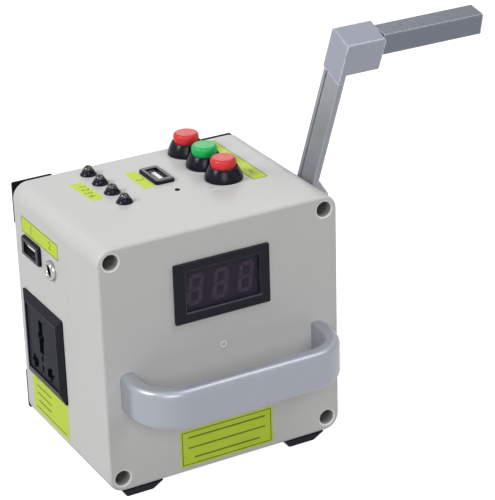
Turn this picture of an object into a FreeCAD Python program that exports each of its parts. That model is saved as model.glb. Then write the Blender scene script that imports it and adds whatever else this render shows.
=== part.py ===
import FreeCAD, Part
import math
import os

# Hand crank generator in millimetres. X runs to the crank side, Y to the back, Z up.
# The sizes are taken round the middle of the case. The saved pieces are moved so that the
# origin lies on the surface that the feet stand on, under the middle of the whole object.

# Case: a moulded box in two parts, split near the front
case_width = 120.0
case_height = 120.0
case_depth = 90.0
cover_depth = 33.5
body_half_middle = (cover_depth + case_depth) / 2
wall = 3.0
corner_radius = 7.5
front_edge_radius = 1.6
back_edge_radius = 1.0
seam_chamfer = 0.3
foot_height = 6.5

# Joint between the two halves
tongue_width = 1.2
groove_depth = 2.5
gasket_height = 1.0
seat_clearance = 0.05

# Cover screws in deep recesses at the four corners
screw_inset = 6.7
boss_radius = 5.0
recess_radius = 3.7
recess_floor = 6.5
recess_chamfer = 0.45
screw_clear_radius = 2.2
screw_pilot_radius = 1.7
screw_head_radius = 3.3
screw_head_height = 2.4
screw_reach = 16.0
body_boss_length = 24.0
slot_width = 0.9

# Mark that the moulding gate leaves in the middle of the cover
gate_radius = 2.2
gate_depth = 0.5
gate_nub_radius = 0.7
gate_nub_height = 0.3

# Eight rubber feet of one kind: four under the case and four on its back
foot_top = 20.4
foot_bottom = 14.0
foot_flange = 1.4
foot_x = 42.5
foot_y_inset = 12.1
rear_foot_rise = 2.8
rear_foot_left_inset = 0.4
rear_foot_right_inset = 4.6
foot_edge_radius = 1.0
foot_recess_radius = 3.4
foot_recess_depth = 3.6
foot_screw_radius = 1.5
foot_screw_head_radius = 2.8
foot_screw_head_height = 1.8
foot_screw_tail = 2.0

# Carry handle: a flat aluminium bow on the front
handle_width = case_width - 16.0
handle_reach = 29.0
handle_band = 19.0
handle_thickness = 6.5
handle_bend = 20.0
handle_height = 49.3
handle_outer_round = 2.9
handle_inner_round = 1.2
handle_thread_radius = 1.65
handle_thread_depth = 14.0
handle_screw_length = 10.0
handle_screw_head_radius = 3.8
handle_screw_head_height = 2.4

# Digital panel meter
meter_from_top = 29.8
meter_height = case_height - meter_from_top
meter_width = 48.0
meter_tall = 29.0
meter_proud = 1.5
meter_corner = 0.8
meter_body_width = 45.0
meter_body_tall = 26.0
meter_body_depth = 18.0
meter_shell = 1.4
meter_window_width = 37.0
meter_window_tall = 20.0
meter_window_rise = 0.8
meter_window_sink = 1.1
meter_window_thickness = 1.2
meter_window_lap = 0.8
meter_display_depth = 7.0
meter_snap = 0.9
meter_snap_length = 6.0
digit_tall = 14.6
digit_wide = 7.4
digit_pitch = 12.7
digit_stroke = 1.3
digit_slant = 0.14
digit_height = 0.2
digit_gap = 0.25
board_thickness = 1.6

# Universal mains socket on the left side
socket_shift = 1.05
socket_y = body_half_middle + socket_shift
socket_height = 48.1
socket_size = 43.4
socket_proud = 2.2
socket_edge = 0.7
socket_bevel = 4.3
socket_corner = 1.5
socket_hole = 37.0
socket_depth = 24.0
socket_shell = 2.0
socket_face_size = 33.4
socket_face_thickness = 3.0
socket_face_sink = 0.6
socket_slot_shift = 1.4
contact_thickness = 0.8
contact_length = 12.0
contact_half_width = 3.4
contact_half_height = 3.8
contact_places = ((0.0, 4.0), (8.2, -10.8), (-8.2, -10.8))

# Charging sockets: one on the left side, one on top
side_usb_shift = 8.15
side_usb_y = body_half_middle + side_usb_shift
side_usb_from_top = 26.0
side_usb_height = case_height - side_usb_from_top
top_usb_x = 0.1
top_usb_y = 60.9
usb_long = 19.0
usb_short = 9.9
usb_proud = 1.8
usb_round = 1.6
usb_neck_inset = 1.0
usb_depth = 14.0
usb_port_long = 13.2
usb_port_short = 5.8
usb_shell_wall = 0.3
usb_shell_sink = 1.0
usb_tongue_long = 11.0
usb_tongue_short = 1.9
usb_tongue_sink = 1.6
usb_tongue_shift = 0.9

# Round charging inlet beside the side socket
jack_shift = 12.45
jack_y = body_half_middle - jack_shift
jack_from_top = 27.8
jack_height = case_height - jack_from_top
jack_radius = 4.8
jack_proud = 2.2
jack_barrel_radius = 3.8
jack_bore_radius = 2.8
jack_length = 13.0
jack_pin_radius = 1.0
jack_pin_length = 8.0
jack_nut_size = 10.4
jack_nut_thickness = 2.2

# Lamps in snap-in holders along the top
lamp_count = 4
lamp_x = -25.4
lamp_first_y = 42.4
lamp_pitch = 12.7
lamp_flange_radius = 3.9
lamp_collar_radius = 2.9
lamp_collar_height = 2.5
lamp_flange_edge = 0.5
lamp_barrel_radius = 3.0
lamp_barrel_depth = 7.0
lamp_radius = 2.2
lamp_top = 4.2
lamp_leg_radius = 0.25
lamp_leg_spread = 1.27
lamp_leg_length = 6.0
charge_lamp_x = 1.0
charge_lamp_y = 42.0
charge_lamp_radius = 1.2
charge_lamp_length = 6.0

# Push buttons along the top
button_names = ("front", "middle", "rear")
button_x = 25.4
button_first_y = 42.8
button_pitch = 18.4
button_collar_radius = 9.0
button_collar_top_radius = 7.2
button_collar_height = 6.3
button_collar_rim = 0.9
button_barrel_radius = 6.0
button_barrel_depth = 14.0
button_cap_radius = 6.1
button_cap_top = 10.5
button_cap_round = 1.0
button_cap_seat = 0.5
button_travel = 2.5
button_slide_gap = 0.3
button_stem_radius = 4.7
button_stem_depth = 1.8
button_floor = 2.0
button_guide_radius = 1.6
button_guide_gap = 0.08
button_spring_radius = 3.6
button_spring_wire = 0.45
button_spring_coils = 5
button_nut_size = 14.0
button_nut_thickness = 2.4

# Stick-on labels: face, middle across, middle up or along, width, height or length
label_thickness = 0.12
label_front = (48.0, 18.7, 0.0, 12.15)
label_upper_from_top = 16.3
label_upper_shift = 0.75
label_lower_shift = 0.15
label_side_upper = (40.0, 8.0, body_half_middle - label_upper_shift, case_height - label_upper_from_top)
label_side_lower = (39.6, 18.6, body_half_middle + label_lower_shift, 16.5)
label_lamps = (6.2, 22.2, -34.8, 62.3)
label_top_usb = (5.6, 21.0, -8.3, 61.5)
label_buttons = (7.9, 52.4, 39.7, 60.0)
label_turn = 4.0

# Crank: shaft, hub, arm, elbow and turning grip
shaft_from_back = 45.0
shaft_y = case_depth - shaft_from_back
shaft_height = 0.815 * case_height
shaft_radius = 4.0
shaft_flat = 0.8
running_gap = 0.05
bush_radius = 7.0
bush_flange_radius = 9.6
bush_flange_thickness = 2.2
crank_lean = 23.0
arm_gap = 6.0
arm_width = 14.2
arm_thickness = 3.0
arm_to_elbow = 79.0
arm_tongue_length = 9.0
arm_tongue_width = 9.0
arm_tongue_thickness = 1.4
arm_edge_chamfer = 1.1
arm_groove_width = 1.4
arm_groove_depth = 0.8
arm_groove_from_edge = 2.9
hub_width = 15.8
hub_half_length = 10.0
hub_thickness = 7.0
hub_round = 1.0
elbow_bottom = 83.2
elbow_top = 101.1
elbow_reach = 20.0
elbow_round = 1.1
shaft_end_gap = 0.4
crank_washer_radius = 5.6
crank_washer_thickness = 1.0
crank_screw_head_radius = 4.3
crank_screw_head_height = 2.8
crank_screw_radius = 2.1
crank_screw_length = 12.0
crank_key_size = 3.0
grip_from_shaft = 94.6
grip_side = 10.4
grip_length = 52.8
grip_lean = 10.9
grip_round = 0.8
grip_pin_radius = 2.5
grip_thread_radius = 2.0
grip_thread_length = 11.0
grip_head_radius = 3.6
grip_head_height = 2.6
grip_head_well_radius = 4.1
grip_head_well_depth = 5.0
grip_washer_radius = 4.6
grip_washer_thickness = 0.6
grip_end_play = 0.2
spacer_radius = 6.4

# Gear train from the crank to the generator
gear_module = case_height / 150
gear_teeth = 36
pinion_teeth = 12
pressure_angle = 20.0
tooth_addendum = 0.82
tooth_dedendum = 1.2
tooth_backlash = 0.22
gear_face = 4.0
gear_layer_gap = 1.0
gear_boss_radius = 6.4
train_angles = (12.0, 12.0, 18.0)
idler_pin_radius = 2.0
plate_thickness = 2.0
plate_to_wall = 5.0
plate_to_gear = 2.5
post_radius = 2.5
outer_plate_top = shaft_height + 9.8
inner_plate_top = shaft_height - 8.8
plate_bottom = 26.0
plate_before_shaft = 19.0
plate_behind_shaft = 33.0
plate_front = shaft_y - plate_before_shaft
plate_back = shaft_y + plate_behind_shaft
post_low = 32.0
front_post_y = shaft_y - 15.0
low_post_y = shaft_y - 14.0
back_post_y = shaft_y + 28.0
front_post_drop = 25.8
back_post_drop = 17.8
post_places = ((front_post_y, shaft_height - front_post_drop), (back_post_y, shaft_height - back_post_drop),
               (low_post_y, post_low), (back_post_y, post_low))

# Generator with its axis along X behind the inner plate
generator_radius = 0.13 * case_height
generator_shell = 1.5
generator_length = 38.0
generator_end = 2.0
rotor_radius = generator_radius - 7.2
rotor_end_gap = 4.0
rotor_shaft_radius = 1.6
coil_count = 6
coil_inner_radius = generator_radius - 6.2
coil_end_gap = 3.0
coil_spread = 44.0

# Circuit board on the back wall and the battery on the floor
board_left = -28.0
board_right = 17.0
board_bottom = 32.0
board_top = case_height - 16.0
board_standoff = 3.4
board_standoff_radius = 2.5
board_standoff_inset = 4.0
choke_size = 20.0
choke_from_board_top = 18.0
choke_height = board_top - choke_from_board_top
capacitor_radius = 5.0
capacitor_length = 14.0
capacitor_inset = 8.0
capacitor_gap = 3.0
heat_sink_inset = 6.0
heat_sink_length = 26.0
heat_sink_depth = 9.0
cell_radius = 9.2
cell_length = 65.0
cell_middle_from_side = 47.0
cell_middle_x = cell_middle_from_side - case_width / 2
cell_first_from_back = 45.0
cell_first_y = case_depth - cell_first_from_back
cell_count = 2
cradle_wall = 1.5
cradle_height = 11.0

# Values worked out from the sizes above
half_width = case_width / 2
front_y = -case_depth / 2
back_y = case_depth / 2
seam_y = front_y + cover_depth
base_z = foot_height
top_z = base_z + case_height
mid_z = base_z + case_height / 2
screw_x = half_width - screw_inset
screw_z = case_height / 2 - screw_inset
vector = FreeCAD.Vector
x_axis = vector(1, 0, 0)
y_axis = vector(0, 1, 0)
z_axis = vector(0, 0, 1)
shaft_axis = vector(0, front_y + shaft_y, base_z + shaft_height)
arm_inner_x = half_width + arm_gap
arm_outer_x = arm_inner_x + arm_thickness
elbow_outer_x = arm_inner_x + elbow_reach
outer_plate_x = half_width - wall - plate_to_wall
layer_one_x = outer_plate_x - plate_thickness - plate_to_gear - gear_face
layer_two_x = layer_one_x - gear_layer_gap - gear_face
layer_three_x = layer_two_x - gear_layer_gap - gear_face
inner_plate_x = layer_three_x - gear_layer_gap
generator_x = inner_plate_x - plate_thickness
gear_radius = gear_module * gear_teeth / 2
pinion_radius = gear_module * pinion_teeth / 2
centre_distance = gear_radius + pinion_radius
right_end = elbow_outer_x + grip_washer_thickness + grip_end_play + grip_length
left_end = -half_width - max(jack_proud, socket_proud)
middle_x = (left_end + right_end) / 2
middle_y = (front_y - handle_reach + back_y + foot_height) / 2


def box(x0, x1, y0, y1, z0, z1):
    """Upright block between two corners."""
    return Part.makeBox(x1 - x0, y1 - y0, z1 - z0, vector(x0, y0, z0))


def rod(radius, start, direction, length):
    """Solid cylinder."""
    return Part.makeCylinder(radius, length, start, direction)


def ring(outer, inner, start, direction, length):
    """Tube of a given length."""
    return rod(outer, start, direction, length).cut(rod(inner, start, direction, length))


def edges_along(shape, direction):
    """Straight edges of a shape that run along one direction."""
    found = []
    for edge in shape.Edges:
        if edge.Curve.TypeId == "Part::GeomLine" and abs(edge.Curve.Direction.dot(direction)) > 0.999:
            found.append(edge)
    return found


def edges_in_plane(shape, axis, level):
    """Edges of a shape that lie in one plane across an axis."""
    found = []
    for edge in shape.Edges:
        low = getattr(edge.BoundBox, axis + "Min")
        high = getattr(edge.BoundBox, axis + "Max")
        if abs(low - level) < 0.001 and abs(high - level) < 0.001:
            found.append(edge)
    return found


def rounded_box(x0, x1, y0, y1, z0, z1, radius, direction):
    """Block with its four edges along one direction rounded."""
    block = box(x0, x1, y0, y1, z0, z1)
    return block.makeFillet(radius, edges_along(block, direction))


def prism(points, direction):
    """Solid swept straight from a closed outline of corner points."""
    outline = Part.makePolygon(list(points) + [points[0]])
    return Part.Face(outline).extrude(direction)


def hexagon(across, centre, direction, thickness):
    """Six-sided nut blank around an axis along X or Z."""
    corners = []
    for index in range(6):
        angle = math.radians(60 * index)
        reach = across / math.sqrt(3)
        if direction == x_axis:
            offset = vector(0, reach * math.cos(angle), reach * math.sin(angle))
        else:
            offset = vector(reach * math.cos(angle), reach * math.sin(angle), 0)
        corners.append(centre + offset)
    return prism(corners, direction * thickness)


def group(solids):
    """Several separate solids in one node."""
    return Part.makeCompound(solids)


def case_prism(inset, y0, y1):
    """Length of the case's rounded square section, drawn in by an inset."""
    x = half_width - inset
    radius = corner_radius - inset
    return rounded_box(-x, x, y0, y1, base_z + inset, top_z - inset, radius, y_axis)


def corner_places():
    """Screw places in the case's section."""
    return [(sx * screw_x, mid_z + sz * screw_z) for sx in (-1, 1) for sz in (-1, 1)]


def seam_ring(y0, y1, clearance):
    """Square ring in the middle of the wall at the seam."""
    inset = (wall - tongue_width) / 2
    outer = case_prism(inset + clearance, y0, y1)
    return outer.cut(case_prism(inset + tongue_width - clearance, y0 - 1, y1 + 1))


def lamp_places():
    """Lamp centres along the top."""
    return [front_y + lamp_first_y + lamp_pitch * index for index in range(lamp_count)]


def button_places():
    """Button centres along the top."""
    return [front_y + button_first_y + button_pitch * index for index in range(len(button_names))]


def foot_places():
    """Foot centres under the case."""
    ys = (front_y + foot_y_inset, back_y - foot_y_inset)
    return [(sx * foot_x, y) for sx in (-1, 1) for y in ys]


def rear_foot_places():
    """Foot centres on the back of the case."""
    left = -half_width + rear_foot_left_inset + foot_top / 2
    right = half_width - rear_foot_right_inset - foot_top / 2
    low = base_z + rear_foot_rise + foot_top / 2
    return [(x, z) for x in (left, right) for z in (low, top_z - foot_top / 2)]


# Rear half of the case
def make_case_body():
    body = case_prism(0, seam_y, back_y)
    body = body.makeFillet(back_edge_radius, edges_in_plane(body, "Y", back_y))
    body = body.makeChamfer(seam_chamfer, edges_in_plane(body, "Y", seam_y))
    hollow = case_prism(wall, seam_y - 1, back_y - wall)
    bosses = []
    for x, z in corner_places():
        bosses.append(rod(boss_radius, vector(x, seam_y, z), y_axis, body_boss_length))
    outside = case_prism(wall / 2, seam_y, back_y - wall / 2)
    body = body.cut(hollow)
    body = body.fuse(Part.makeCompound(bosses).common(outside)).removeSplitter()
    body = body.cut(seam_ring(seam_y, seam_y + groove_depth, 0))
    for x, z in corner_places():
        pilot = rod(screw_pilot_radius, vector(x, seam_y, z), y_axis, screw_reach + 2)
        body = body.cut(pilot)
    for y in lamp_places():
        body = body.cut(rod(lamp_barrel_radius, vector(lamp_x, y, top_z - wall), z_axis, wall))
    for y in button_places():
        body = body.cut(rod(button_barrel_radius, vector(button_x, y, top_z - wall), z_axis, wall))
    lamp_at = vector(charge_lamp_x, front_y + charge_lamp_y, top_z - wall)
    body = body.cut(rod(charge_lamp_radius, lamp_at, z_axis, wall))
    body = body.cut(usb_neck(top_usb_place(), wall))
    body = body.cut(usb_neck(side_usb_place(), wall))
    jack_at = vector(-half_width, front_y + jack_y, base_z + jack_height)
    body = body.cut(rod(jack_barrel_radius, jack_at, x_axis, wall))
    body = body.cut(socket_box(-half_width, -half_width + wall, socket_hole))
    inside = vector(half_width - wall, shaft_axis.y, shaft_axis.z)
    body = body.cut(rod(bush_radius, inside, x_axis, wall))
    for x, y in foot_places():
        if y > seam_y:
            body = body.cut(rod(foot_screw_radius, vector(x, y, base_z), z_axis, wall))
    for x, z in rear_foot_places():
        body = body.cut(rod(foot_screw_radius, vector(x, back_y - wall, z), y_axis, wall))
    return body


# Front half of the case with its deep screw recesses
def make_front_cover():
    cover = case_prism(0, front_y, seam_y)
    cover = cover.makeFillet(front_edge_radius, edges_in_plane(cover, "Y", front_y))
    cover = cover.makeChamfer(seam_chamfer, edges_in_plane(cover, "Y", seam_y))
    cover = cover.cut(case_prism(wall, front_y + wall, seam_y + 1))
    bosses = []
    for x, z in corner_places():
        bosses.append(rod(boss_radius, vector(x, front_y + wall / 2, z), y_axis, cover_depth - wall / 2))
    inside = case_prism(wall / 2, front_y + wall / 2, seam_y)
    cover = cover.fuse(Part.makeCompound(bosses).common(inside)).removeSplitter()
    tongue = seam_ring(seam_y, seam_y + groove_depth - gasket_height, seat_clearance)
    cover = cover.fuse(tongue)
    for x, z in corner_places():
        deep = cover_depth - recess_floor
        cover = cover.cut(rod(recess_radius, vector(x, front_y, z), y_axis, deep))
        mouth = Part.makeCone(recess_radius + recess_chamfer, recess_radius, recess_chamfer,
                              vector(x, front_y, z), y_axis)
        cover = cover.cut(mouth)
        cover = cover.cut(rod(screw_clear_radius, vector(x, front_y, z), y_axis, cover_depth))
    z = base_z + meter_height
    window = box(-meter_body_width / 2, meter_body_width / 2, front_y, front_y + wall,
                 z - meter_body_tall / 2, z + meter_body_tall / 2)
    cover = cover.cut(window)
    for x in handle_leg_places():
        hole = rod(screw_clear_radius, vector(x, front_y, base_z + handle_height), y_axis, wall)
        cover = cover.cut(hole)
    gate_at = vector(0, front_y, mid_z)
    cover = cover.cut(rod(gate_radius, gate_at, y_axis, gate_depth))
    nub_at = gate_at + y_axis * (gate_depth - gate_nub_height)
    cover = cover.fuse(rod(gate_nub_radius, nub_at, y_axis, gate_nub_height + wall / 3))
    for x, y in foot_places():
        if y < seam_y:
            cover = cover.cut(rod(foot_screw_radius, vector(x, y, base_z), z_axis, wall))
    return cover


# Foam cord that seals the joint
def make_cover_gasket():
    return seam_ring(seam_y + groove_depth - gasket_height, seam_y + groove_depth, seat_clearance)


# Four long screws at the bottom of the recesses
def make_cover_screws():
    screws = []
    head_y = seam_y - recess_floor
    for x, z in corner_places():
        head = rod(screw_head_radius, vector(x, head_y - screw_head_height, z), y_axis, screw_head_height)
        for turned in (0, 1):
            half = slot_width / 2 if turned else screw_head_radius * 0.6
            rise = screw_head_radius * 0.6 if turned else slot_width / 2
            head = head.cut(box(x - half, x + half, head_y - screw_head_height,
                                head_y - screw_head_height / 2, z - rise, z + rise))
        radius = screw_pilot_radius - seat_clearance
        shank = rod(radius, vector(x, head_y, z), y_axis, recess_floor + screw_reach)
        screws.append(head.fuse(shank))
    return group(screws)


def standing_foot():
    """Tapered rubber foot that hangs below the origin, with a recess for its screw."""
    top = foot_top / 2
    low = foot_bottom / 2
    rings = []
    for half, z in ((top, -foot_flange), (low, -foot_height)):
        corners = [vector(sx * half, sy * half, z) for sx, sy in ((-1, -1), (1, -1), (1, 1), (-1, 1))]
        rings.append(Part.makePolygon(corners + [corners[0]]))
    taper = Part.makeLoft(rings, True, True)
    slanted = [edge for edge in taper.Edges if edge.BoundBox.ZLength > foot_flange]
    taper = taper.makeFillet(foot_edge_radius, slanted)
    flange = rounded_box(-top, top, -top, top, -foot_flange, 0, foot_edge_radius, z_axis)
    foot = flange.fuse(taper)
    foot = foot.cut(rod(foot_recess_radius, vector(0, 0, -foot_height), z_axis, foot_recess_depth))
    return foot.cut(rod(foot_screw_radius, vector(0, 0, -foot_height), z_axis, foot_height))


def standing_foot_screw():
    """Screw of one foot, drawn with the foot hanging below the origin."""
    head_top = foot_recess_depth - foot_height
    head = rod(foot_screw_head_radius, vector(0, 0, head_top - foot_screw_head_height), z_axis,
               foot_screw_head_height)
    length = wall + foot_screw_tail - head_top
    return head.fuse(rod(foot_screw_radius - seat_clearance, vector(0, 0, head_top), z_axis, length))


def under_case(make):
    """One piece per foot under the case."""
    pieces = []
    for x, y in foot_places():
        piece = make()
        piece.translate(vector(x, y, base_z))
        pieces.append(piece)
    return pieces


def behind_case(make):
    """One piece per foot on the back of the case."""
    pieces = []
    for x, z in rear_foot_places():
        piece = make()
        piece.rotate(vector(0, 0, 0), x_axis, 90)
        piece.translate(vector(x, back_y, z))
        pieces.append(piece)
    return pieces


# Four rubber feet under the case
def make_bottom_feet():
    return group(under_case(standing_foot))


# Four rubber feet on the back, for laying the case down
def make_rear_feet():
    return group(behind_case(standing_foot))


# One screw through each foot
def make_foot_screws():
    return group(under_case(standing_foot_screw) + behind_case(standing_foot_screw))


def handle_leg_places():
    """Middle of each handle leg."""
    middle = handle_width / 2 - handle_thickness / 2
    return (-middle, middle)


def bow_outline(half, reach, bend):
    """Flat face of a U-shaped bow that stands out of the cover, seen from above."""
    z = base_z + handle_height - handle_band / 2
    front = front_y - reach
    slant = bend * math.sqrt(0.5)
    left_mid = vector(-half + bend - slant, front + bend - slant, z)
    right_mid = vector(half - bend + slant, front + bend - slant, z)
    edges = [
        Part.makeLine(vector(half, front_y, z), vector(-half, front_y, z)),
        Part.makeLine(vector(-half, front_y, z), vector(-half, front + bend, z)),
        Part.Arc(vector(-half, front + bend, z), left_mid, vector(-half + bend, front, z)).toShape(),
        Part.makeLine(vector(-half + bend, front, z), vector(half - bend, front, z)),
        Part.Arc(vector(half - bend, front, z), right_mid, vector(half, front + bend, z)).toShape(),
        Part.makeLine(vector(half, front + bend, z), vector(half, front_y, z)),
    ]
    return Part.Face(Part.Wire(edges))


# Bent aluminium carry handle
def make_carry_handle():
    half = handle_width / 2
    inner_half = half - handle_thickness
    inner_bend = handle_bend - handle_thickness
    outer = bow_outline(half, handle_reach, handle_bend).extrude(z_axis * handle_band)
    inner = bow_outline(inner_half, handle_reach - handle_thickness, inner_bend)
    bow = outer.cut(inner.extrude(z_axis * handle_band))
    low = base_z + handle_height - handle_band / 2
    rims = edges_in_plane(bow, "Z", low) + edges_in_plane(bow, "Z", low + handle_band)
    outside = []
    inside = []
    for edge in rims:
        middle = edge.valueAt((edge.FirstParameter + edge.LastParameter) / 2)
        if abs(middle.y - front_y) < 0.001:
            continue
        on_leg = abs(middle.x) > half - 0.01
        on_bar = middle.y < front_y - handle_reach + 0.01
        arc = edge.Curve.TypeId == "Part::GeomCircle"
        if on_leg or on_bar or (arc and edge.Curve.Radius > inner_bend + 0.01):
            outside.append(edge)
        else:
            inside.append(edge)
    bow = bow.makeFillet(handle_outer_round, outside)
    rims = []
    for edge in bow.Edges:
        for old in inside:
            if edge.CenterOfMass.distanceToPoint(old.CenterOfMass) < 0.01:
                rims.append(edge)
    bow = bow.makeFillet(handle_inner_round, rims)
    for x in handle_leg_places():
        start = vector(x, front_y, base_z + handle_height)
        bow = bow.cut(rod(handle_thread_radius, start, -y_axis, handle_thread_depth))
    return bow


# Two screws from inside the cover into the handle's legs
def make_handle_screws():
    screws = []
    for x in handle_leg_places():
        at = vector(x, front_y + wall, base_z + handle_height)
        head = rod(handle_screw_head_radius, at, y_axis, handle_screw_head_height)
        shank = rod(handle_thread_radius - seat_clearance, at, -y_axis, wall + handle_screw_length)
        screws.append(head.fuse(shank))
    return group(screws)


def meter_box(wide, tall, y0, y1, rise=0.0):
    """Block centred on the meter, or a little above its centre."""
    z = base_z + meter_height + rise
    return box(-wide / 2, wide / 2, y0, y1, z - tall / 2, z + tall / 2)


# Snap-in housing of the panel meter
def make_meter_bezel():
    z = base_z + meter_height
    plate = rounded_box(-meter_width / 2, meter_width / 2, front_y - meter_proud, front_y,
                        z - meter_tall / 2, z + meter_tall / 2, meter_corner, y_axis)
    plate = plate.makeFillet(meter_corner * 0.7, edges_in_plane(plate, "Y", front_y - meter_proud))
    sleeve = meter_box(meter_body_width - 2 * seat_clearance, meter_body_tall - 2 * seat_clearance,
                       front_y, front_y + meter_body_depth)
    bezel = plate.fuse(sleeve)
    rise = meter_window_rise
    bezel = bezel.cut(meter_box(meter_window_width, meter_window_tall, front_y - meter_proud, front_y, rise))
    pane_y = front_y - meter_proud + meter_window_sink
    lap = 2 * meter_window_lap
    hollow = meter_box(meter_window_width + lap, meter_window_tall + lap, pane_y,
                       front_y + meter_body_depth, rise)
    bezel = bezel.cut(hollow)
    for side in (-1, 1):
        inner = side * (meter_body_width / 2 - meter_shell / 2)
        outer = side * (meter_body_width / 2 + meter_snap)
        y = front_y + wall + seat_clearance
        corners = [vector(inner, y, z - meter_snap_length / 2), vector(outer, y, z - meter_snap_length / 2),
                   vector(inner, y + meter_snap_length, z - meter_snap_length / 2)]
        bezel = bezel.fuse(prism(corners, z_axis * meter_snap_length))
    return bezel


def pane_back_y():
    """Back of the meter's window pane."""
    return front_y - meter_proud + meter_window_sink + meter_window_thickness


# Dark acrylic pane
def make_meter_window():
    lap = 2 * meter_window_lap - 2 * seat_clearance
    return meter_box(meter_window_width + lap, meter_window_tall + lap,
                     pane_back_y() - meter_window_thickness, pane_back_y(), meter_window_rise)


# Block that carries the three figures
def make_meter_display():
    lap = 2 * meter_window_lap - 2 * seat_clearance
    start = pane_back_y() + digit_height
    return meter_box(meter_window_width + lap, meter_window_tall + lap, start,
                     start + meter_display_depth, meter_window_rise)


def segment(centre_x, centre_z, long, upright):
    """One bar of a figure, pointed at both ends and slanted with it."""
    half = long / 2 - digit_gap
    point = digit_stroke / 2
    flat = [(-half, 0), (-half + point, point), (half - point, point),
            (half, 0), (half - point, -point), (-half + point, -point)]
    corners = []
    for along, across in flat:
        dx, dz = (across, along) if upright else (along, across)
        z = centre_z + dz
        corners.append(vector(centre_x + dx + digit_slant * z, pane_back_y(), z + base_z + meter_height))
    return prism(corners, y_axis * digit_height)


# Seven bars for each of the three figures
def make_meter_digits():
    bars = []
    side = (digit_wide - digit_stroke) / 2
    half = (digit_tall - digit_stroke) / 2
    for index in (-1, 0, 1):
        x = index * digit_pitch
        for level in (-1, 0, 1):
            bars.append(segment(x, level * half, digit_wide - digit_stroke, False))
        for sx in (-1, 1):
            for level in (-0.5, 0.5):
                bars.append(segment(x + sx * side, level * half, half, True))
    return group(bars)


# Meter circuit board that closes the back of the housing
def make_meter_board():
    start = pane_back_y() + digit_height + meter_display_depth
    lap = 2 * meter_window_lap - 2 * seat_clearance
    return meter_box(meter_window_width + lap, meter_window_tall + lap, start,
                     start + board_thickness, meter_window_rise)


def socket_box(x0, x1, size):
    """Square block centred on the mains socket."""
    y, z = front_y + socket_y, base_z + socket_height
    return box(x0, x1, y - size / 2, y + size / 2, z - size / 2, z + size / 2)


def socket_square(x, size):
    """Square outline centred on the mains socket."""
    y, z = front_y + socket_y, base_z + socket_height
    half = size / 2
    corners = [vector(x, y + sy * half, z + sz * half) for sy, sz in ((-1, -1), (1, -1), (1, 1), (-1, 1))]
    return Part.makePolygon(corners + [corners[0]])


# Bevelled frame of the mains socket with its rear box
def make_socket_frame():
    front_x = -half_width - socket_proud
    edge_x = -half_width - socket_edge
    bevel = Part.makeLoft([socket_square(edge_x, socket_size),
                           socket_square(front_x, socket_size - 2 * socket_bevel)], True, True)
    skirt = socket_box(edge_x, -half_width, socket_size)
    blank = socket_box(front_x, -half_width, socket_size)
    blank = blank.makeFillet(socket_corner, edges_along(blank, x_axis))
    frame = blank.common(bevel.fuse(skirt))
    sleeve = socket_box(-half_width, -half_width + socket_depth, socket_hole - 2 * seat_clearance)
    frame = frame.fuse(sleeve)
    face_back = front_x + socket_face_sink + socket_face_thickness
    frame = frame.cut(socket_box(front_x, face_back, socket_face_size))
    hollow_end = -half_width + socket_depth - socket_shell
    return frame.cut(socket_box(face_back, hollow_end, socket_face_size - 2 * socket_shell))


def socket_slots():
    """Openings of the universal socket: across, up, width, height."""
    slots = [(0.0, 9.0, 4.6, 7.0), (0.0, 4.4, 7.0, 3.4), (0.0, -0.9, 5.0, 7.4),
             (0.0, -7.0, 2.2, 3.2), (0.0, -12.2, 2.2, 3.6)]
    for side in (-1, 1):
        slots.append((side * 9.0, -11.6, 3.0, 7.4))
        slots.append((side * 7.0, -11.6, 3.8, 4.8))
        slots.append((side * 10.6, -11.6, 3.6, 2.4))
    return slots


# Face plate with the slots that take several kinds of plug
def make_socket_face():
    x = -half_width - socket_proud + socket_face_sink
    face = socket_box(x, x + socket_face_thickness, socket_face_size - 2 * seat_clearance)
    y = front_y + socket_y + socket_slot_shift
    z = base_z + socket_height
    for across, up, wide, tall in socket_slots():
        face = face.cut(box(x, x + socket_face_thickness, y + across - wide / 2, y + across + wide / 2,
                            z + up - tall / 2, z + up + tall / 2))
    return face


# Brass contact springs behind the slots
def make_socket_contacts():
    x = -half_width - socket_proud + socket_face_sink + socket_face_thickness
    end = x + contact_length
    contacts = []
    for across, up in contact_places:
        y = front_y + socket_y + socket_slot_shift + across
        z = base_z + socket_height + up
        wide = contact_half_width
        tall = contact_half_height
        tunnel = box(x, end, y - wide, y + wide, z - tall, z + tall)
        wide -= contact_thickness
        tall -= contact_thickness
        contacts.append(tunnel.cut(box(x, end - contact_thickness, y - wide, y + wide, z - tall, z + tall)))
    return group(contacts)


def top_usb_place():
    """Centre, long size and short size of the top socket, and its outward axis."""
    return vector(top_usb_x, front_y + top_usb_y, top_z), usb_long, usb_short, z_axis


def side_usb_place():
    """Centre, long size and short size of the side socket, and its outward axis."""
    centre = vector(-half_width, front_y + side_usb_y, base_z + side_usb_height)
    return centre, usb_long, usb_short, -x_axis


def usb_block(place, long, short, out0, out1, shift=0.0):
    """Block on a charging socket between two heights along its outward axis."""
    centre, _, _, out = place
    if out == z_axis:
        return box(centre.x - short / 2 + shift, centre.x + short / 2 + shift, centre.y - long / 2,
                   centre.y + long / 2, centre.z + out0, centre.z + out1)
    return box(centre.x - out1, centre.x - out0, centre.y - long / 2, centre.y + long / 2,
               centre.z - short / 2 + shift, centre.z + short / 2 + shift)


def usb_neck(place, depth, clearance=0.0):
    """Neck of a charging socket where it passes the wall."""
    _, long, short, _ = place
    less = 2 * usb_neck_inset + 2 * clearance
    return usb_block(place, long - less, short - less, -depth, 0)


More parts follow.
